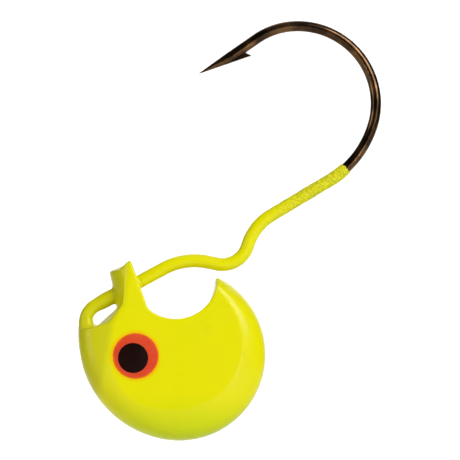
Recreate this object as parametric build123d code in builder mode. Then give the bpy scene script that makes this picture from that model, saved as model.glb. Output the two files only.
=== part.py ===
from build123d import *
from math import cos, radians, sin
import os

# Painted jig head: a bronzed hook cast into a flattened lead head. Sizes in mm.
# X runs from the line tie back to the bend, Z runs up, and the hook lies in Y = 0.
# The origin is the middle of the line tie's opening.

# hook wire
wire_d = 0.95
eye_leg_x = -1.72
eye_leg_top = -0.79
eye_leg_buried = 0.95
eye_front_r = 1.80
eye_back_r = 1.00
eye_tail = 2.00
in_block_run = 2.60
shank_tilt = 29.0
point_straight = 3.15
point_taper = 2.90
tip_offset = 0.38
tip_d = 0.06
barb_reach = 0.98
barb_back = 4.75
barb_w = 0.40
barb_root = 0.25
barb_slope_from = 2.40
barb_slope_mid = 2.60

# bends of the wire from the eye to the point: straight run, then radius and turn (left is +)
crank_runs = [(6.85, 5.75, -40.5), (0.80, 2.35, 84.3), (0.10, 4.85, -41.5)]
last_run = 6.05
hook_bends = [(9.00, 40.8), (6.90, 116.9), (6.40, 26.5)]

# paint
coat_t = 0.12
coat_past_bend = 12.0
iris_d = 4.00
iris_pos = (2.64, -3.87)
pupil_d = 2.64
pupil_pos = (2.41, -4.05)
dab_t = 0.05

# head, painted size: two half thicknesses and the round rim with the flat cheek inside it
head_t = 4.70
shoulder_t = 2.00
shoulder_in = 0.20
rim_r = 7.65
rim_centre = (6.58, -3.48)
rim_slope = 1.35
cheek_centre = (6.13, -2.74)
cheek_round = 0.40
cheek_drop = 0.12
keel_at = 262
chin_at = 195
nose_at = 164
horn_at = 70
chin = (-1.88, -4.80)
nose_r = 12.0
jowl_slope_cut = 0.32

# the block that holds the eye's wire: corners at the rim and on the cheek
nose_top = (-2.35, -1.18)
slot_corner = (-0.62, -0.95)
block_foot = (1.09, 0.62)
block_nose = (0.37, 3.83)
block_rear = (3.00, 4.90)
cheek_slot_corner = (0.45, -0.80)
cheek_block_foot = (1.45, 0.70)
cheek_block_nose = (1.95, 4.55)
cheek_block_rear = (3.05, 5.05)

# the scoop between the block and the horn
scoop_r = 3.67
scoop_centre = (6.13, 3.11)
scoop_foot_at = 229
scoop_horn_at = 2
scoop_front = (2.00, 5.20)
scoop_root_r = 1.20
horn_round = 0.22
clear = 2.0


def on_circle(centre, radius, angle):
    return Vector(centre[0] + radius * cos(radians(angle)), centre[1] + radius * sin(radians(angle)))


def outward(edge, at):
    # outlines run clockwise, so outward is to the left of the way along them
    way = edge % at
    return Vector(-way.Y, way.X)


def grown(edges, grow):
    # the same outline of lines and arcs, moved outward by grow
    corners = []
    for i, edge in enumerate(edges):
        before = outward(edges[i - 1], 1)
        after = outward(edge, 0)
        corners.append(edge @ 0 + (before + after) * (grow / (1 + before.dot(after))))
    with BuildLine() as line:
        for i, edge in enumerate(edges):
            start = corners[i]
            end = corners[(i + 1) % len(edges)]
            if edge.geom_type == GeomType.LINE:
                Line(start, end)
            else:
                ThreePointArc(start, edge @ 0.5 + outward(edge, 0.5) * grow, end)
    return line.line


# outline of the head at its rim, and of the flat cheek inside it, edge for edge
keel = on_circle(rim_centre, rim_r, keel_at)
horn = on_circle(rim_centre, rim_r, horn_at)
with BuildLine() as rim_line:
    jowl = TangentArc(keel, chin, tangent=on_circle((0, 0), 1, keel_at - 90))
    nose = RadiusArc(chin, nose_top, nose_r)
    shelf = Line(nose @ 1, slot_corner)
    slot_end = Line(shelf @ 1, block_foot)
    block_front = Line(slot_end @ 1, block_nose)
    block_top = Line(block_front @ 1, block_rear)
    over_scoop = Line(block_top @ 1, horn)
    rim = ThreePointArc(horn, on_circle(rim_centre, rim_r, (horn_at + keel_at - 360) / 2), keel)
rim_edges = [jowl, nose, shelf, slot_end, block_front, block_top, over_scoop, rim]

cheek_r = rim_r - rim_slope
jowl_cheek_r = cheek_r + jowl_slope_cut
cheek_keel = on_circle(cheek_centre, cheek_r, keel_at)
cheek_chin = on_circle(cheek_centre, cheek_r, chin_at)
cheek_nose = on_circle(cheek_centre, cheek_r, nose_at)
cheek_horn = on_circle(cheek_centre, cheek_r, horn_at)
with BuildLine() as cheek_line:
    c_jowl = ThreePointArc(
        cheek_keel, on_circle(cheek_centre, jowl_cheek_r, (keel_at + chin_at) / 2), cheek_chin
    )
    c_nose = Line(cheek_chin, cheek_nose)
    c_shelf = Line(cheek_nose, cheek_slot_corner)
    c_slot_end = Line(c_shelf @ 1, cheek_block_foot)
    c_block_front = Line(c_slot_end @ 1, cheek_block_nose)
    c_block_top = Line(c_block_front @ 1, cheek_block_rear)
    c_over_scoop = Line(c_block_top @ 1, cheek_horn)
    c_rim = ThreePointArc(
        cheek_horn, on_circle(cheek_centre, cheek_r, (horn_at + keel_at - 360) / 2), cheek_keel
    )
cheek_edges = [c_jowl, c_nose, c_shelf, c_slot_end, c_block_front, c_block_top, c_over_scoop, c_rim]

# what the scoop takes away: the space behind the block and over the horn
scoop_top = max(rim_centre[1] + rim_r, block_rear[1]) + clear
scoop_far = rim_centre[0] + rim_r + clear
scoop_horn = on_circle(scoop_centre, scoop_r, scoop_horn_at)
scoop_foot = on_circle(scoop_centre, scoop_r, scoop_foot_at)
with BuildLine() as scoop_line:
    s_left = Line(scoop_front, (scoop_front[0], scoop_top))
    s_top = Line(s_left @ 1, (scoop_far, scoop_top))
    s_right = Line(s_top @ 1, (scoop_far, scoop_horn.Y))
    s_horn = Line(s_right @ 1, scoop_horn)
    s_arc = ThreePointArc(scoop_horn, on_circle(scoop_centre, scoop_r, 270), scoop_foot)
    s_back = Line(s_arc @ 1, s_left @ 0)
scoop_edges = [s_left, s_top, s_right, s_horn, s_arc, s_back]


def head_body(grow):
    # the whole casting with its surface moved outward by grow
    half = head_t / 2 + grow
    profile = [
        (-half, cheek_edges, grow / 2 - cheek_round),
        (-half + cheek_drop, cheek_edges, grow / 2),
        (-shoulder_t / 2, rim_edges, grow - shoulder_in),
        (0, rim_edges, grow),
        (shoulder_t / 2, rim_edges, grow - shoulder_in),
        (half - cheek_drop, cheek_edges, grow / 2),
        (half, cheek_edges, grow / 2 - cheek_round),
    ]
    sections = []
    for at, edges, step in profile:
        with BuildSketch(Plane.XZ.offset(at)) as section:
            make_face(grown(edges, step).edges())
        sections.append(section.sketch)
    with BuildPart() as body:
        loft(sections=sections)
        with BuildSketch(Plane.XZ) as scoop:
            make_face(grown(scoop_edges, -grow).edges())
            corners = scoop.vertices()
            fillet(corners.sort_by_distance(s_arc @ 1)[0], scoop_root_r - grow)
            fillet(corners.sort_by_distance(s_arc @ 0)[0], horn_round + grow)
        extrude(amount=head_t, both=True, mode=Mode.SUBTRACT)
    return body


def shank_steps(start, way, first_run, last_turn):
    # the cranked shank and the start of the bend, laid on from a point of its first run
    step = Line(start, start + way * first_run)
    for k, (run, radius, turn) in enumerate(crank_runs):
        if k > 0:
            step = Line(step @ 1, step @ 1 + (step % 1) * run)
        step = JernArc(step @ 1, step % 1, radius, turn)
    step = Line(step @ 1, step @ 1 + (step % 1) * last_run)
    return JernArc(step @ 1, step % 1, hook_bends[0][0], last_turn)


# the wire: tail and rear of the eye, front leg, shank, bend, straight before the point
with BuildLine(Plane.XZ) as wire_path:
    leg = Line((eye_leg_x, eye_leg_top - eye_leg_buried), (eye_leg_x, eye_leg_top))
    eye_back = JernArc(leg @ 0, (leg % 0) * -1, eye_back_r, 90 + shank_tilt)
    Line(eye_back @ 1, eye_back @ 1 + (eye_back % 1) * eye_tail)
    eye_front = JernArc(leg @ 1, leg % 1, eye_front_r, shank_tilt - 90)
    step = shank_steps(eye_front @ 1, eye_front % 1, crank_runs[0][0], hook_bends[0][1])
    for radius, turn in hook_bends[1:]:
        step = JernArc(step @ 1, step % 1, radius, turn)
    point_run = Line(step @ 1, step @ 1 + (step % 1) * point_straight)

with BuildPart() as hook:
    with BuildSketch(Plane(point_run @ 1, z_dir=point_run % 1)) as wire_end:
        Circle(wire_d / 2)
    sweep(path=wire_path.wire())
    # the point tapers to a tip on the wire's outer side
    inner_side = (point_run % 1).cross(Vector(0, 1, 0))
    tip = point_run @ 1 + (point_run % 1) * point_taper - inner_side * tip_offset
    with BuildSketch(Plane(tip, z_dir=point_run % 1)) as tip_end:
        Circle(tip_d / 2)
    loft(sections=[wire_end.sketch, tip_end.sketch])
    # the barb, raised from the wire's inner side with a notch behind it
    barb_plane = Plane(tip, x_dir=(point_run % 1) * -1, z_dir=(0, 1, 0))
    with BuildSketch(barb_plane):
        with BuildLine():
            Polyline(
                (barb_slope_from, tip_offset + barb_root),
                (barb_slope_mid, tip_offset + barb_reach / 2),
                (barb_back, tip_offset + barb_reach),
                (barb_back - barb_root, tip_offset + barb_root),
                close=True,
            )
        make_face()
    extrude(amount=barb_w / 2, both=True)
hook.part.label = "hook"

# the head with its paint, and the bare lead inside it
painted = head_body(0)
casting = head_body(-coat_t)

with BuildPart() as lead_head:
    add(casting.part)
    add(hook.part, mode=Mode.SUBTRACT)
lead_head.part.label = "lead_head"

with BuildPart() as head_coat:
    add(painted.part)
    add(casting.part, mode=Mode.SUBTRACT)
    add(hook.part, mode=Mode.SUBTRACT)
head_coat.part.label = "head_coat"

# paint on the wire where it stands clear of the head
in_block = eye_front @ 1 + (eye_front % 1) * in_block_run
with BuildPart() as eye_coat:
    with BuildLine() as eye_path:
        add(leg)
        add(eye_front)
        Line(eye_front @ 1, in_block)
    with BuildSketch(Plane(in_block, z_dir=eye_front % 1)):
        Circle(wire_d / 2 + coat_t)
    sweep(path=eye_path.wire())
    add(painted.part, mode=Mode.SUBTRACT)
    add(hook.part, mode=Mode.SUBTRACT)
eye_coat.part.label = "eye_coat"

with BuildPart() as shank_coat:
    with BuildLine(Plane.XZ) as shank_path:
        coat_end = shank_steps(in_block, eye_front % 1, crank_runs[0][0] - in_block_run, coat_past_bend)
    with BuildSketch(Plane(coat_end @ 1, z_dir=coat_end % 1)):
        Circle(wire_d / 2 + coat_t)
    sweep(path=shank_path.wire())
    add(painted.part, mode=Mode.SUBTRACT)
    add(hook.part, mode=Mode.SUBTRACT)
shank_coat.part.label = "shank_coat"


def dab(side, centre, diameter, under):
    # a round dab of paint on one cheek, on top of what is under it
    with BuildPart() as spot:
        with BuildSketch(Plane.XZ.offset(-side * (head_t / 2 + under))):
            with Locations(centre):
                Circle(diameter / 2)
        extrude(amount=-side * dab_t)
    return spot


left_iris = dab(-1, iris_pos, iris_d, 0)
left_iris.part.label = "left_iris"
right_iris = dab(1, iris_pos, iris_d, 0)
right_iris.part.label = "right_iris"
left_pupil = dab(-1, pupil_pos, pupil_d, dab_t)
left_pupil.part.label = "left_pupil"
right_pupil = dab(1, pupil_pos, pupil_d, dab_t)
right_pupil.part.label = "right_pupil"

os.makedirs("parts", exist_ok=True)
export_step(hook.part, "parts/hook.step")
export_step(lead_head.part, "parts/lead_head.step")
export_step(head_coat.part, "parts/head_coat.step")
export_step(eye_coat.part, "parts/eye_coat.step")
export_step(shank_coat.part, "parts/shank_coat.step")
export_step(left_iris.part, "parts/left_iris.step")
export_step(right_iris.part, "parts/right_iris.step")
export_step(left_pupil.part, "parts/left_pupil.step")
export_step(right_pupil.part, "parts/right_pupil.step")
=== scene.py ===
import bpy
import bmesh
import math
from mathutils import Matrix, Vector, noise
from mathutils.bvhtree import BVHTree


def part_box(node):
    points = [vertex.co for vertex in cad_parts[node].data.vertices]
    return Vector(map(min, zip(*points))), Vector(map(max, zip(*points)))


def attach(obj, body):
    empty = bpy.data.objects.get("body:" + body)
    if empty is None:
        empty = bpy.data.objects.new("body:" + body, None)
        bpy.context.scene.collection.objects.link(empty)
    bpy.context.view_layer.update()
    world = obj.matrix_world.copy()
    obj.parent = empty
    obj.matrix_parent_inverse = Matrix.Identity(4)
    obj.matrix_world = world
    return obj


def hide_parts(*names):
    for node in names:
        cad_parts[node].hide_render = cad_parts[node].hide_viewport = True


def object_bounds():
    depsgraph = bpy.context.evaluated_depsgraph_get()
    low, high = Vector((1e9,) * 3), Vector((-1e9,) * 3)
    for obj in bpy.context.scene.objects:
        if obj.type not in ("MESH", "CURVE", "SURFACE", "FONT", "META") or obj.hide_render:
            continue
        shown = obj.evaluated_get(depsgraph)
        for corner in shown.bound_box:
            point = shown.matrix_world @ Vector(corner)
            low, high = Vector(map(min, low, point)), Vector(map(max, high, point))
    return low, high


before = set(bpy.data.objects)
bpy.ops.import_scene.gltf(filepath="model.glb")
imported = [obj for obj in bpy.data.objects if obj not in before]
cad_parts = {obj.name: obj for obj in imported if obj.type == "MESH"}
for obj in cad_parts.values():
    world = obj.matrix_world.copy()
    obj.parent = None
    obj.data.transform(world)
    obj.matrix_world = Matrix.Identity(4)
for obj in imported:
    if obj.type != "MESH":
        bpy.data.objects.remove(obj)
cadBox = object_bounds()
mm = 0.001
print("frame loaded:", sorted(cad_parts))


def middle(node):
    low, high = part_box(node)
    return (low + high) / 2


def span(node):
    low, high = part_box(node)
    return high - low


wireRadius = span("hook").y / 2
coatRadius = span("shank_coat").y / 2
headHalf = span("head_coat").y / 2
irisRadius = span("left_iris").x / 2
irisMiddle = middle("left_iris")


class Signal:  # one node's output, so that a sum of signals reads as a sum
    def __init__(self, shop, socket):
        self.shop = shop
        self.socket = socket

    def maths(self, operation, first, second=None):
        values = {0: first} if second is None else {0: first, 1: second}
        return self.shop.node("ShaderNodeMath", {"operation": operation}, values)

    def __add__(self, other):
        return self.maths("ADD", self, other)

    def __radd__(self, other):
        return self.maths("ADD", other, self)

    def __sub__(self, other):
        return self.maths("SUBTRACT", self, other)

    def __rsub__(self, other):
        return self.maths("SUBTRACT", other, self)

    def __mul__(self, other):
        return self.maths("MULTIPLY", self, other)

    def __rmul__(self, other):
        return self.maths("MULTIPLY", other, self)

    def power(self, exponent):
        return self.maths("POWER", self, exponent)

    def smaller(self, other):
        return self.maths("MINIMUM", self, other)

    def larger(self, other):
        return self.maths("MAXIMUM", self, other)

    def rise(self, low, high):  # 0 below low, 1 above high, smooth between
        settings = {"interpolation_type": "SMOOTHSTEP"}
        return self.shop.node("ShaderNodeMapRange", settings, {0: self, 1: low, 2: high})


class Finish:  # one material and the nodes in it
    def __init__(self, name):
        self.material = bpy.data.materials.new(name)
        self.material.use_nodes = True
        self.tree = self.material.node_tree
        self.tree.nodes.clear()
        self.place = self.node("ShaderNodeTexCoord", {}, {}, "Object")

    def node(self, kind, settings, values, output=0):
        made = self.tree.nodes.new(kind)
        for name, value in settings.items():
            setattr(made, name, value)
        for name, value in values.items():
            if isinstance(value, Signal):
                self.tree.links.new(value.socket, made.inputs[name])
            else:
                made.inputs[name].default_value = value
        return Signal(self, made.outputs[output])

    def grain(self, perMetre, detail=3.0, rough=0.5):
        values = {"Vector": self.place, "Scale": perMetre, "Detail": detail, "Roughness": rough}
        return self.node("ShaderNodeTexNoise", {"noise_dimensions": "3D"}, values)

    def specks(self, perMetre):
        values = {"Vector": self.place, "Scale": perMetre}
        return self.node("ShaderNodeTexVoronoi", {"feature": "F1"}, values, "Distance")

    def axis(self, name):
        return self.node("ShaderNodeSeparateXYZ", {}, {0: self.place}, name)

    def fromEye(self, waver):  # distance from the middle of the painted eye, made uneven by waver
        x = self.axis("X") - irisMiddle.x
        z = self.axis("Z") - irisMiddle.z
        return (x * x + z * z).power(0.5) + waver

    def mix(self, amount, first, second):
        first = first if isinstance(first, Signal) else (*first, 1)
        second = second if isinstance(second, Signal) else (*second, 1)
        values = {0: amount, 6: first, 7: second}  # the factor and the two colours
        return self.node("ShaderNodeMix", {"data_type": "RGBA", "blend_type": "MIX"}, values, 2)

    def bump(self, height, depth, strength):
        values = {"Height": height, "Distance": depth, "Strength": strength}
        return self.node("ShaderNodeBump", {}, values)

    def surface(self, values):
        shader = self.node("ShaderNodeBsdfPrincipled", {}, values)
        out = self.tree.nodes.new("ShaderNodeOutputMaterial")
        self.tree.links.new(shader.socket, out.inputs["Surface"])
        return self.material


chartreuse = {
    "yellow": (0.808, 0.76, 0.0),
    # this green is the paint's uneven tone and also painted shade towards the keel
    "shade_and_cloud_green": (0.56, 0.70, 0.0),
    # this olive is the paint's patchy tone and grains and also painted shade on the front
    "olive_tone_and_shade": (0.42, 0.42, 0.01),
    "halo": (0.95, 0.47, 0.0),
    "pale": (0.90, 0.92, 0.22),
    "haloWidth": 0.42 * mm,
    "roughness": 0.24,
    "peel": 0.008 * mm,
}


def chartreusePaint(name, rough=False):
    f = Finish(name)
    p = chartreuse
    # painted shade: greener towards the keel, where less light falls; greener too in broad clouds of uneven
    # tone
    cloud = f.grain(160, 2.0)
    drift = f.grain(520, 3.0)
    low = 1 - f.axis("Z").rise(-11.2 * mm, -6.5 * mm)
    shade_and_cloud_green = (low * 0.75 + cloud * 0.35 - 0.17).smaller(1.0).larger(0.0)
    colour = f.mix(shade_and_cloud_green, p["yellow"], p["shade_and_cloud_green"])
    colour = f.mix(drift.rise(0.60, 0.80) * 0.06, colour, p["olive_tone_and_shade"])
    # painted shade: the nose, the eye and the block's front face away from the light, so they are mixed
    # towards a duller olive
    front = 1 - (f.axis("X") - f.axis("Z") * 0.19).rise(0.35 * mm, 1.25 * mm)
    colour = f.mix(front * (0.26 + drift * 0.22), colour, p["olive_tone_and_shade"])
    # the orange sprays a soft halo round the eye on both cheeks
    away = f.fromEye((f.grain(900, 2.0) - 0.5) * (0.25 * mm))
    halo = 1 - away.rise(irisRadius - 0.10 * mm, irisRadius + p["haloWidth"])
    cheek = f.axis("Y")
    cheek = (cheek * cheek).power(0.5).rise(headHalf * 0.90, headHalf * 0.97)
    colour = f.mix(halo * cheek * 0.85, colour, p["halo"])
    peel = f.grain(2600, 2.0, 0.45)
    height = peel
    gloss = p["roughness"] + drift * 0.10
    depth = p["peel"]
    if rough:  # towards the end of the shank the powder lies in grains
        late = f.axis("X").rise(13 * mm, 19 * mm)
        grains = f.specks(5200)
        colour = f.mix(grains.rise(0.30, 0.62) * late * 0.55, colour, p["olive_tone_and_shade"])
        pale = f.grain(5600, 2.0).rise(0.56, 0.74)
        colour = f.mix(pale * late * 0.50, colour, p["pale"])
        height = peel * 0.4 + (1 - grains) * late * 1.6
        gloss = gloss + late * 0.22
        depth = 0.045 * mm
    normal = f.bump(height, depth, 0.55)
    return f.surface({
        "Base Color": colour,
        "Roughness": gloss,
        "Specular IOR Level": 0.20,
        "Coat Weight": 0.08,
        "Coat Roughness": 0.08,
        "Normal": normal,
    })


dabs = {
    "orange": (0.72, 0.062, 0.022),
    "orangePatch": (0.74, 0.10, 0.03),
    "rim": (0.90, 0.20, 0.0),
    "black": (0.006, 0.001, 0.0005),
    "blackPatch": (0.014, 0.003, 0.002),
}


def orangeDab(name):
    f = Finish(name)
    away = f.fromEye((f.grain(1100, 2.0) - 0.5) * (0.20 * mm))
    edge = away.rise(irisRadius * 0.90, irisRadius * 1.02)
    patch = f.grain(700, 3.0).rise(0.35, 0.75)
    colour = f.mix(patch * 0.35, dabs["orange"], dabs["orangePatch"])
    colour = f.mix(edge * 0.7, colour, dabs["rim"])
    normal = f.bump(f.grain(2400, 2.0), 0.008 * mm, 0.5)
    return f.surface({
        "Base Color": colour,
        "Roughness": 0.26 + patch * 0.10,
        "Specular IOR Level": 0.2,
        "Normal": normal,
    })


def blackDab(name):
    f = Finish(name)
    patch = f.grain(900, 3.0)
    colour = f.mix(patch, dabs["black"], dabs["blackPatch"])
    normal = f.bump(f.grain(2600, 2.0), 0.006 * mm, 0.5)
    return f.surface({
        "Base Color": colour,
        "Roughness": 0.24 + patch * 0.12,
        "Specular IOR Level": 0.12,
        "Normal": normal,
    })


bronze = {
    "dark": (0.040, 0.024, 0.014),
    "copper": (0.46, 0.24, 0.10),
    "soot": (0.008, 0.007, 0.006),
}


def bronzedSteel(name):
    f = Finish(name)
    stain = f.grain(420, 4.0, 0.6)
    fine = f.grain(5200, 3.0, 0.6)
    colour = f.mix(stain.rise(0.35, 0.80) * 0.55, bronze["dark"], bronze["copper"])
    colour = f.mix(fine.rise(0.55, 0.80) * 0.5, colour, bronze["soot"])
    streak = f.grain(1500, 2.0)
    normal = f.bump(fine * 0.6 + streak * 0.4, 0.004 * mm, 0.5)
    return f.surface({
        "Base Color": colour,
        "Metallic": 1.0,
        "Roughness": 0.14 + stain * 0.16,
        "Normal": normal,
    })


leadColours = {"dark": (0.16, 0.165, 0.175), "light": (0.33, 0.335, 0.34)}


def castLead(name):
    f = Finish(name)
    dull = f.grain(600, 4.0, 0.6)
    colour = f.mix(dull, leadColours["dark"], leadColours["light"])
    normal = f.bump(dull, 0.02 * mm, 0.6)
    return f.surface({
        "Base Color": colour,
        "Metallic": 0.85,
        "Roughness": 0.42 + dull * 0.2,
        "Normal": normal,
    })


headPaint = chartreusePaint("head_paint")
eyePaint = chartreusePaint("eye_wire_paint")
shankPaint = chartreusePaint("shank_paint", True)
hookMetal = bronzedSteel("bronzed_steel_wire")
leadMetal = castLead("cast_lead")
print("materials mixed")


def finished(bm, name, node, material):
    bmesh.ops.recalc_face_normals(bm, faces=bm.faces)
    mesh = bpy.data.meshes.new(name)
    bm.to_mesh(mesh)
    bm.free()
    mesh.shade_smooth()
    mesh.materials.append(material)
    piece = bpy.data.objects.new(name, mesh)
    bpy.context.scene.collection.objects.link(piece)
    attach(piece, "root")
    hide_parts(node)
    return piece


def applied(piece):  # bakes the modifiers into the mesh
    graph = bpy.context.evaluated_depsgraph_get()
    graph.update()
    mesh = bpy.data.meshes.new_from_object(piece.evaluated_get(graph))
    piece.modifiers.clear()
    piece.data = mesh
    return piece


def copied(node):  # a merged copy of a CAD node's mesh
    bm = bmesh.new()
    bm.from_mesh(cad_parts[node].data)
    bmesh.ops.remove_doubles(bm, verts=bm.verts, dist=0.0005 * mm)
    return bm


def heading(degrees):
    return Vector((math.cos(math.radians(degrees)), 0, math.sin(math.radians(degrees))))


class WireRun:  # a tube drawn along straight runs and bends, in the plane of the hook
    def __init__(self, start, degrees, radius, sides, step):
        self.bm = bmesh.new()
        self.place = start.copy()
        self.degrees = degrees
        self.sides = sides
        self.step = step
        turn = heading(degrees).to_track_quat("Z", "Y").to_matrix().to_4x4()
        bmesh.ops.create_circle(
            self.bm, segments=sides, radius=radius, matrix=Matrix.Translation(start) @ turn
        )
        self.ring = list(self.bm.edges) + list(self.bm.verts)

    def onward(self, centre, shove, angle, steps):  # carries the last ring on, by a shove or a turn
        made = bmesh.ops.spin(
            self.bm, geom=self.ring, cent=centre, axis=(0, -1, 0), dvec=shove, angle=angle, steps=steps
        )
        self.ring = [g for g in made["geom_last"] if isinstance(g, (bmesh.types.BMEdge, bmesh.types.BMVert))]

    def run(self, length):
        steps = max(1, round(length / self.step))
        self.onward(self.place, heading(self.degrees) * (length / steps), 0, steps)
        self.place += heading(self.degrees) * length

    def bend(self, radius, turn):
        way = math.copysign(1, turn)
        centre = self.place + heading(self.degrees + 90) * (radius * way)
        steps = max(2, round(radius * math.radians(abs(turn)) / self.step))
        self.onward(centre, (0, 0, 0), math.radians(turn), steps)
        self.degrees += turn
        self.place = centre - heading(self.degrees + 90) * (radius * way)

    def draw(self, route):
        for leg in route:
            if len(leg) == 1:
                self.run(leg[0] * mm)
            else:
                self.bend(leg[0] * mm, leg[1])

    def shape(self, profile):  # profile(distance, angle, point) gives a scale of the radius and a shift
        self.bm.verts.ensure_lookup_table()
        verts = list(self.bm.verts)
        rings = [verts[i : i + self.sides] for i in range(0, len(verts), self.sides)]
        centres = [sum((v.co for v in ring), Vector()) / self.sides for ring in rings]
        along = 0.0
        for i, ring in enumerate(rings):
            if i > 0:
                along += (centres[i] - centres[i - 1]).length
            ahead = (centres[min(i + 1, len(rings) - 1)] - centres[max(i - 1, 0)]).normalized()
            side = ahead.cross(Vector((0, 1, 0)))
            for v in ring:
                out = v.co - centres[i]
                angle = math.atan2(out.dot(side), out.y)
                grow, shift = profile(along, angle, v.co)
                v.co = centres[i] + out * grow + side * shift

    def close(self):
        loose = [e for e in self.bm.edges if e.is_boundary]
        bmesh.ops.holes_fill(self.bm, edges=loose, sides=0)


hookSizes = {
    "leg": (-1.72, -1.74),  # foot of the eye's front leg, in X and Z
    "legRun": 0.95,
    "eyeFront": (1.80, -61.0),  # radius and turn, left is +
    "crank": [(6.85,), (5.75, -40.5), (0.80,), (2.35, 84.3), (0.10,), (4.85, -41.5), (6.05,)],
    "bend": [(9.00, 40.8), (6.90, 116.9), (6.40, 26.5), (3.15,)],
    "taper": 2.90,
    "tipShift": 0.38,
    "tipRadius": 0.03,
    "sides": 40,
    "step": 0.14,
}
inBlock = 2.60  # how far along its straight the wire has run when the block has swallowed it
legFoot = Vector((hookSizes["leg"][0], 0, hookSizes["leg"][1])) * mm
hookRoute = [(hookSizes["legRun"],), hookSizes["eyeFront"], *hookSizes["crank"], *hookSizes["bend"]]
eyeRoute = [(hookSizes["legRun"],), hookSizes["eyeFront"], (inBlock,)]


def routeLength(route):
    return sum(leg[0] if len(leg) == 1 else leg[0] * math.radians(abs(leg[1])) for leg in route) * mm


wire = WireRun(legFoot, 90, wireRadius, hookSizes["sides"], hookSizes["step"] * mm)
wire.draw(hookRoute)
taperStart = routeLength(hookRoute)
tipPlace = wire.place.copy()
tipDegrees = wire.degrees
wire.draw([(hookSizes["taper"],)])
taperLength = hookSizes["taper"] * mm


def pointProfile(along, angle, point):
    past = max(0.0, (along - taperStart) / taperLength)
    past = min(past, 1.0)
    tip = hookSizes["tipRadius"] * mm / wireRadius
    return 1 - (1 - tip) * past, -hookSizes["tipShift"] * mm * past


wire.shape(pointProfile)
wire.close()
hookPiece = finished(wire.bm, "bronzed_hook", "hook", hookMetal)

barb = {  # distances back from the point and out from its line, in mm
    "from": 1.0,
    "tip": (4.75, 1.36),
    "underTip": (4.37, 0.70),
    "notch": (3.80, 0.45),
    "width": 0.46,
    "sharpAngle": 35,
}


def barbWedge():  # a flat-sided sliver cut up from the wire's inner side, leaning back over its notch
    ahead = heading(tipDegrees)
    inner = ahead.cross(Vector((0, 1, 0)))
    tip = tipPlace + ahead * taperLength - inner * hookSizes["tipShift"] * mm
    slope = barb["tip"][1] / barb["tip"][0]
    corners = [(barb["from"], barb["from"] * slope), barb["tip"], barb["underTip"], barb["notch"]]
    bm = bmesh.new()
    verts = [bm.verts.new(tip - ahead * back * mm + inner * off * mm) for back, off in corners]
    face = bm.faces.new(verts)
    bmesh.ops.translate(bm, verts=verts, vec=(0, -barb["width"] / 2 * mm, 0))
    other = bmesh.ops.extrude_face_region(bm, geom=[face])
    moved = [g for g in other["geom"] if isinstance(g, bmesh.types.BMVert)]
    bmesh.ops.translate(bm, verts=moved, vec=(0, barb["width"] * mm, 0))
    bmesh.ops.recalc_face_normals(bm, faces=bm.faces)
    mesh = bpy.data.meshes.new("barb_wedge")
    bm.to_mesh(mesh)
    bm.free()
    wedge = bpy.data.objects.new("barb_wedge", mesh)
    bpy.context.scene.collection.objects.link(wedge)
    return wedge


wedge = barbWedge()
join = hookPiece.modifiers.new("barb", "BOOLEAN")
join.operation = "UNION"
join.solver = "EXACT"
join.object = wedge
applied(hookPiece)
bpy.data.objects.remove(wedge)
hookPiece.data.set_sharp_from_angle(angle=math.radians(barb["sharpAngle"]))
print("hook drawn", [round(v / mm, 2) for v in tipPlace])


wireCoat = {  # swellings are shares of the coated wire's radius
    "sides": 56,
    "ring": 0.08 * mm,
    "fineRing": 0.06 * mm,
    "footSwell": (0.55 * mm, 0.20, 0.75 * mm),  # where it starts, how much, over what length
    "blockSwell": (1.75 * mm, 0.14, 0.55 * mm),
    "stubSwell": (0.10 * mm, 0.22, 0.75 * mm),
    "uneven": 0.035,
    "pastBend": 12.0,
    "stub": 1.90 * mm,  # how far the head's own skin follows the shank out of the block
    "overrun": 0.8,
}
shankGrit = {  # the last part of the shank's coat is thinner, grainy, and ends raggedly
    "from": 0.42,
    "thinner": 0.035,
    "coarse": (0.010, 0.085, 0.30 * mm, 0.11),  # at first, added at the end, grain size, seed
    "fine": (0.003, 0.050, 0.15 * mm, 0.57),
    "settle": 0.5 * mm,
    "ragged": 0.45 * mm,
    "ragScale": 2.1,
    "edge": 0.30 * mm,
    "bare": 0.985,
}


def lump(point, size, seed):  # an uneven swelling, from -1 to 1
    return noise.noise((point + Vector((seed, 2 * seed, 3 * seed))) / size)


def flare(distance, size, reach):  # extra thickness where paint gathers at a foot
    return size * math.exp(-((max(0.0, distance) / reach) ** 2))


def eyeProfile(along, angle, point):  # thicker at the foot of the leg and into the block
    start, size, reach = wireCoat["footSwell"]
    foot = flare(along - start, size, reach)
    start, size, reach = wireCoat["blockSwell"]
    block = flare(eyeLength - start - along, size, reach)
    uneven = wireCoat["uneven"] * lump(point, 0.9 * mm, 0.31)
    return 1.0 + foot + block + uneven, -foot * coatRadius


def tubeMesh(start, degrees, route, profile, step):
    tube = WireRun(start, degrees, coatRadius, wireCoat["sides"], step)
    tube.draw(route)
    tube.shape(profile)
    tube.close()
    bmesh.ops.recalc_face_normals(tube.bm, faces=tube.bm.faces)
    return tube.bm


eyeWay = WireRun(legFoot, 90, wireRadius, 8, 1 * mm)
eyeWay.draw(eyeRoute)
shankStart = eyeWay.place.copy()
shankDegrees = eyeWay.degrees
eyeWay.bm.free()
eyeLength = routeLength(eyeRoute)
crank = list(hookSizes["crank"])
crank[0] = (crank[0][0] - inBlock,)
stubLength = wireCoat["stub"]
shankFirst = crank[0][0] * mm
shankWay = heading(shankDegrees)
shankCut = shankStart + shankWay * stubLength
startOfBend = (hookSizes["bend"][0][0], wireCoat["pastBend"])
restOfShank = [(shankFirst / mm - stubLength / mm,), *crank[1:], startOfBend]
shankLength = routeLength(restOfShank)


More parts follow.
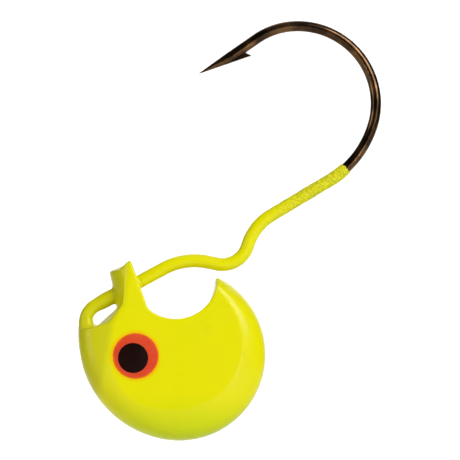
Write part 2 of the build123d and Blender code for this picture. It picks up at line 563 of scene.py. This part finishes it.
def shankProfile(along, angle, point):  # grainier and thinner towards a ragged end
    g = shankGrit
    start = g["from"] * shankLength
    late = min(1.0, max(0.0, (along - start) / (shankLength - start)))
    thin = 1 - g["thinner"] * late
    grit = 0.0
    for first, added, size, seed in (g["coarse"], g["fine"]):
        grit += (first + added * late) * lump(point, size, seed)
    grit *= min(1.0, along / g["settle"])
    around = Vector((math.cos(angle), math.sin(angle), 0))
    left = shankLength - along + g["ragged"] * noise.noise(around * g["ragScale"])
    edge = min(1.0, max(0.0, left / g["edge"]))
    bare = g["bare"] * wireRadius / coatRadius
    grow = thin + grit
    return bare + (grow - bare) * math.sqrt(edge), 0


def stubProfile(along, angle, point):  # thicker where the shank leaves the block
    start, size, reach = wireCoat["stubSwell"]
    return 1.0 + flare(along - start, size, reach), 0


headFinish = {
    "voxel": 0.10 * mm,
    "rounds": 8,
    "inner": 0.03 * mm,  # a face of the coat nearer than this to lead or wire is an inner one
    "fillets": 30,
    "least": 0.06 * mm,  # the thinnest paint over the lead
    "legCut": 0.42 * mm,  # above the top of the eye's leg
    "blockCut": 2.30 * mm,  # back along the wire from the start of the shank
    "cutReach": 1.7,  # in radii of the coated wire
}


def outerSkin():  # the outside of the painted head, closed where the wire goes in
    coat = copied("head_coat")
    coat.verts.ensure_lookup_table()
    inside = [BVHTree.FromBMesh(copied(node)) for node in ("lead_head", "hook")]
    hidden = []
    for face in coat.faces:
        spots = [face.calc_center_median(), *[v.co for v in face.verts]]
        for tree in inside:
            if max(tree.find_nearest(spot)[3] for spot in spots) < headFinish["inner"]:
                hidden.append(face)
                break
    bmesh.ops.delete(coat, geom=hidden, context="FACES")
    loose = [v for v in coat.verts if not v.link_faces]
    bmesh.ops.delete(coat, geom=loose, context="VERTS")
    edges = [e for e in coat.edges if e.is_boundary]
    print("open edges where the wire goes in:", len(edges))
    bmesh.ops.holes_fill(coat, edges=edges, sides=0)
    bmesh.ops.triangulate(coat, faces=coat.faces)
    return coat


def addTo(bm, other):
    mesh = bpy.data.meshes.new("joined")
    other.to_mesh(mesh)
    other.free()
    bm.from_mesh(mesh)
    bpy.data.meshes.remove(mesh)


filletSpots = [  # where paint gathers and corners soften: middle, reach and strength, in mm
    ((-1.72, 0, -1.15), 1.35, 0.6),  # the foot of the eye's leg
    ((0.75, 0, 0.35), 1.2, 0.6),  # the end of the slot
    ((0.70, 0, 3.85), 1.9, 1.0),  # the block's front corner
    ((1.95, -2.1, 4.5), 1.4, 0.9),  # the block's rear corners
    ((1.95, 2.1, 4.5), 1.4, 0.9),
]
filletSpots = [(Vector(spot) * mm, reach * mm, strength) for spot, reach, strength in filletSpots]


def filletWeight(point):
    weight = 0.0
    for spot, reach, strength in filletSpots:
        weight = max(weight, strength * min(1.0, 2 - 2 * (point - spot).length / reach))
    return weight


def evenSkin(bm):  # one even, rounded skin over everything in bm
    mesh = bpy.data.meshes.new("skin")
    bm.to_mesh(mesh)
    bm.free()
    holder = bpy.data.objects.new("skin", mesh)
    bpy.context.scene.collection.objects.link(holder)
    remesh = holder.modifiers.new("even_mesh", "REMESH")
    remesh.mode = "VOXEL"
    remesh.voxel_size = headFinish["voxel"]
    soften = holder.modifiers.new("paint_rounding", "SMOOTH")
    soften.factor = 0.5
    soften.iterations = headFinish["rounds"]
    applied(holder)
    group = holder.vertex_groups.new(name="fillets")
    for v in holder.data.vertices:
        weight = filletWeight(v.co)
        if weight > 0:
            group.add([v.index], weight, "REPLACE")
    fillet = holder.modifiers.new("paint_fillets", "SMOOTH")
    fillet.factor = 0.5
    fillet.iterations = headFinish["fillets"]
    fillet.vertex_group = "fillets"
    applied(holder)
    made = bmesh.new()
    made.from_mesh(holder.data)
    bpy.data.objects.remove(holder)
    return made


def clearOf(bm, node, least):  # lifts the skin wherever it is nearer to node than the least paint
    tree = BVHTree.FromBMesh(copied(node))
    lifted = 0
    for v in bm.verts:
        spot, normal, number, distance = tree.find_nearest(v.co)
        if distance > 4 * least:  # far off, where a sharp edge would give the wrong side
            continue
        if (v.co - spot).dot(normal) < 0:
            distance = -distance
        if distance < least:
            v.co = spot + normal * least
            lifted += 1
    print("skin lifted off", node, "at", lifted, "points")


def cutWire(bm, point, way):  # parts the skin across one wire
    reach = headFinish["cutReach"] * coatRadius
    near = [f for f in bm.faces if (f.calc_center_median() - point).length < reach]
    parts = set(near) | {e for f in near for e in f.edges} | {v for f in near for v in f.verts}
    cut = bmesh.ops.bisect_plane(bm, geom=list(parts), dist=1e-9, plane_co=point, plane_no=way)
    ring = [g for g in cut["geom_cut"] if isinstance(g, bmesh.types.BMEdge)]
    bmesh.ops.split_edges(bm, edges=ring)


def island(bm, spot):  # the faces joined to the one nearest to spot
    bm.faces.ensure_lookup_table()
    first = min(bm.faces, key=lambda f: (f.calc_center_median() - spot).length)
    found = {first}
    ahead = [first]
    while ahead:
        face = ahead.pop()
        for link in face.edges:
            for other in link.link_faces:
                if other not in found:
                    found.add(other)
                    ahead.append(other)
    return found


def kept(bm, faces):  # a copy of bm with only those faces, closed
    numbers = {f.index for f in faces}
    copy = bm.copy()
    copy.faces.ensure_lookup_table()
    rest = [f for f in copy.faces if f.index not in numbers]
    bmesh.ops.delete(copy, geom=rest, context="FACES")
    loose = [v for v in copy.verts if not v.link_faces]
    bmesh.ops.delete(copy, geom=loose, context="VERTS")
    rims = [e for e in copy.edges if e.is_boundary]
    bmesh.ops.holes_fill(copy, edges=rims, sides=0)
    return copy


skin = outerSkin()
addTo(skin, tubeMesh(legFoot, 90, eyeRoute, eyeProfile, wireCoat["ring"]))
stubRoute = [(stubLength / mm + wireCoat["overrun"],)]
addTo(skin, tubeMesh(shankStart, shankDegrees, stubRoute, stubProfile, wireCoat["ring"]))
skin = evenSkin(skin)
clearOf(skin, "lead_head", headFinish["least"])
legCut = legFoot + Vector((0, 0, hookSizes["legRun"] * mm + headFinish["legCut"]))
blockCut = shankStart - shankWay * headFinish["blockCut"]
cutWire(skin, legCut, Vector((0, 0, 1)))
cutWire(skin, blockCut, shankWay)
cutWire(skin, shankCut, shankWay)
skin.faces.index_update()
loopFaces = island(skin, legFoot + Vector((0.3, 0, 3.6)) * mm)
headFaces = island(skin, Vector((irisMiddle.x, -headHalf, irisMiddle.z)))
print("skin:", len(skin.faces), "loop:", len(loopFaces), "head:", len(headFaces))
finished(kept(skin, headFaces), "painted_head", "head_coat", headPaint)
finished(kept(skin, loopFaces), "eye_wire_coat", "eye_coat", eyePaint)
skin.free()

shank = tubeMesh(shankCut, shankDegrees, restOfShank, shankProfile, wireCoat["fineRing"])
finished(shank, "shank_wire_coat", "shank_coat", shankPaint)
print("painted skins done")


def dab(name, node, material, outward):
    low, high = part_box(node)
    centre = (low + high) / 2
    radius = (high.x - low.x) / 2
    thick = high.y - low.y
    base = low.y if outward > 0 else high.y
    bm = bmesh.new()
    facing = Matrix.Rotation(math.radians(-90 * outward), 4, "X")
    spot = Matrix.Translation((centre.x, base, centre.z)) @ facing
    bmesh.ops.create_circle(bm, cap_ends=True, segments=96, radius=radius, matrix=spot)
    disc = list(bm.faces)
    raised = bmesh.ops.extrude_face_region(bm, geom=disc)
    top = [g for g in raised["geom"] if isinstance(g, bmesh.types.BMVert)]
    bmesh.ops.translate(bm, verts=top, vec=(0, outward * thick, 0))
    rim = [e for e in bm.edges if all(abs(v.co.y - (base + outward * thick)) < 1e-7 for v in e.verts)]
    bmesh.ops.bevel(
        bm, geom=rim, offset=thick * 0.85, segments=5, profile=0.5, affect="EDGES", material=-1
    )
    return finished(bm, name, node, material)


irisPaint = orangeDab("orange_eye_paint")
pupilPaint = blackDab("black_eye_paint")
for side, outward in (("left", -1), ("right", 1)):
    dab(f"{side}_iris_dab", f"{side}_iris", irisPaint, outward)
    dab(f"{side}_pupil_dab", f"{side}_pupil", pupilPaint, outward)
print("eyes painted")

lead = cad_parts["lead_head"]
lead.data.materials.clear()
lead.data.materials.append(leadMetal)


studio = {"floorDrop": 0.075, "reach": 1.6, "wallAt": 0.55, "height": 1.3, "sweep": 0.25}


def sweepBackdrop():
    bm = bmesh.new()
    floorZ = -studio["floorDrop"]
    start = [bm.verts.new((x, -studio["reach"], floorZ)) for x in (-studio["reach"], studio["reach"])]
    edge = [bm.edges.new(start)]
    run = bmesh.ops.extrude_edge_only(bm, edges=edge)
    verts = [g for g in run["geom"] if isinstance(g, bmesh.types.BMVert)]
    edges = [g for g in run["geom"] if isinstance(g, bmesh.types.BMEdge)]
    bmesh.ops.translate(bm, verts=verts, vec=(0, studio["reach"] + studio["wallAt"], 0))
    front = [e for e in edges if all(abs(v.co.y - studio["wallAt"]) < 1e-6 for v in e.verts)]
    ring = front + list({v for e in front for v in e.verts})
    turned = bmesh.ops.spin(
        bm,
        geom=ring,
        cent=(0, studio["wallAt"], floorZ + studio["sweep"]),
        axis=(1, 0, 0),
        angle=math.radians(90),
        steps=24,
    )
    last = [g for g in turned["geom_last"] if isinstance(g, bmesh.types.BMEdge)]
    up = bmesh.ops.extrude_edge_only(bm, edges=last)
    verts = [g for g in up["geom"] if isinstance(g, bmesh.types.BMVert)]
    bmesh.ops.translate(bm, verts=verts, vec=(0, 0, studio["height"]))
    mesh = bpy.data.meshes.new("studio_sweep")
    bm.to_mesh(mesh)
    bm.free()
    mesh.shade_smooth()
    sweep = bpy.data.objects.new("studio_sweep", mesh)
    bpy.context.scene.collection.objects.link(sweep)
    f = Finish("studio_paper")
    mesh.materials.append(f.surface({"Base Color": (0.9, 0.9, 0.9, 1), "Roughness": 0.9}))


sweepBackdrop()


def softbox(name, place, aim, size, power):
    lamp = bpy.data.lights.new(name, "AREA")
    lamp.shape = "RECTANGLE"
    lamp.size, lamp.size_y = size
    lamp.energy = power
    holder = bpy.data.objects.new(name, lamp)
    holder.location = place
    holder.rotation_mode = "QUATERNION"
    holder.rotation_quaternion = (Vector(aim) - Vector(place)).to_track_quat("-Z", "Y")
    bpy.context.scene.collection.objects.link(holder)


objectMiddle = (cadBox[0] + cadBox[1]) / 2
lamps = {  # place, aim, size and power
    "key": ((0.32, -0.40, 0.30), objectMiddle, (0.30, 0.40), 2.65),
    "top": ((0.0, 0.0, 0.5), objectMiddle, (0.35, 0.35), 0.15),
    "strip_low_right": ((0.22, -0.42, -0.05), objectMiddle, (0.02, 0.12), 0.22),
    "strip_low_left": ((-0.22, -0.44, -0.04), objectMiddle, (0.015, 0.08), 0.10),
    "fill_left": ((-0.45, -0.22, 0.12), objectMiddle, (0.25, 0.35), 0.65),
    "wall_wash": ((0.15, 0.35, 0.55), (0.1, 0.9, 0.1), (0.7, 0.2), 5.0),
}
for name, (place, aim, size, power) in lamps.items():
    softbox(name, place, aim, size, power)

world = bpy.data.worlds.new("studio_air")
world.use_nodes = True
world.node_tree.nodes["Background"].inputs["Color"].default_value = (1, 1, 1, 1)
world.node_tree.nodes["Background"].inputs["Strength"].default_value = 0.05
bpy.context.scene.world = world

view = {
    "azimuth": -4.0,
    "elevation": -7.0,
    "distance": 0.30,
    "across": 0.04085,
    "aim": (0.01108, 0, 0.00760),
}
around, up = math.radians(view["azimuth"]), math.radians(view["elevation"])
back = Vector((math.sin(around) * math.cos(up), -math.cos(around) * math.cos(up), math.sin(up)))
lens = bpy.data.cameras.new("camera")
lens.sensor_width = 36
lens.lens = lens.sensor_width * view["distance"] / view["across"]
lens.clip_start = 0.01
camera = bpy.data.objects.new("camera", lens)
camera.location = Vector(view["aim"]) + back * view["distance"]
camera.rotation_mode = "QUATERNION"
camera.rotation_quaternion = (-back).to_track_quat("-Z", "Y")
bpy.context.scene.collection.objects.link(camera)
bpy.context.scene.camera = camera
bpy.context.scene.view_settings.view_transform = "Standard"
print("studio lit")
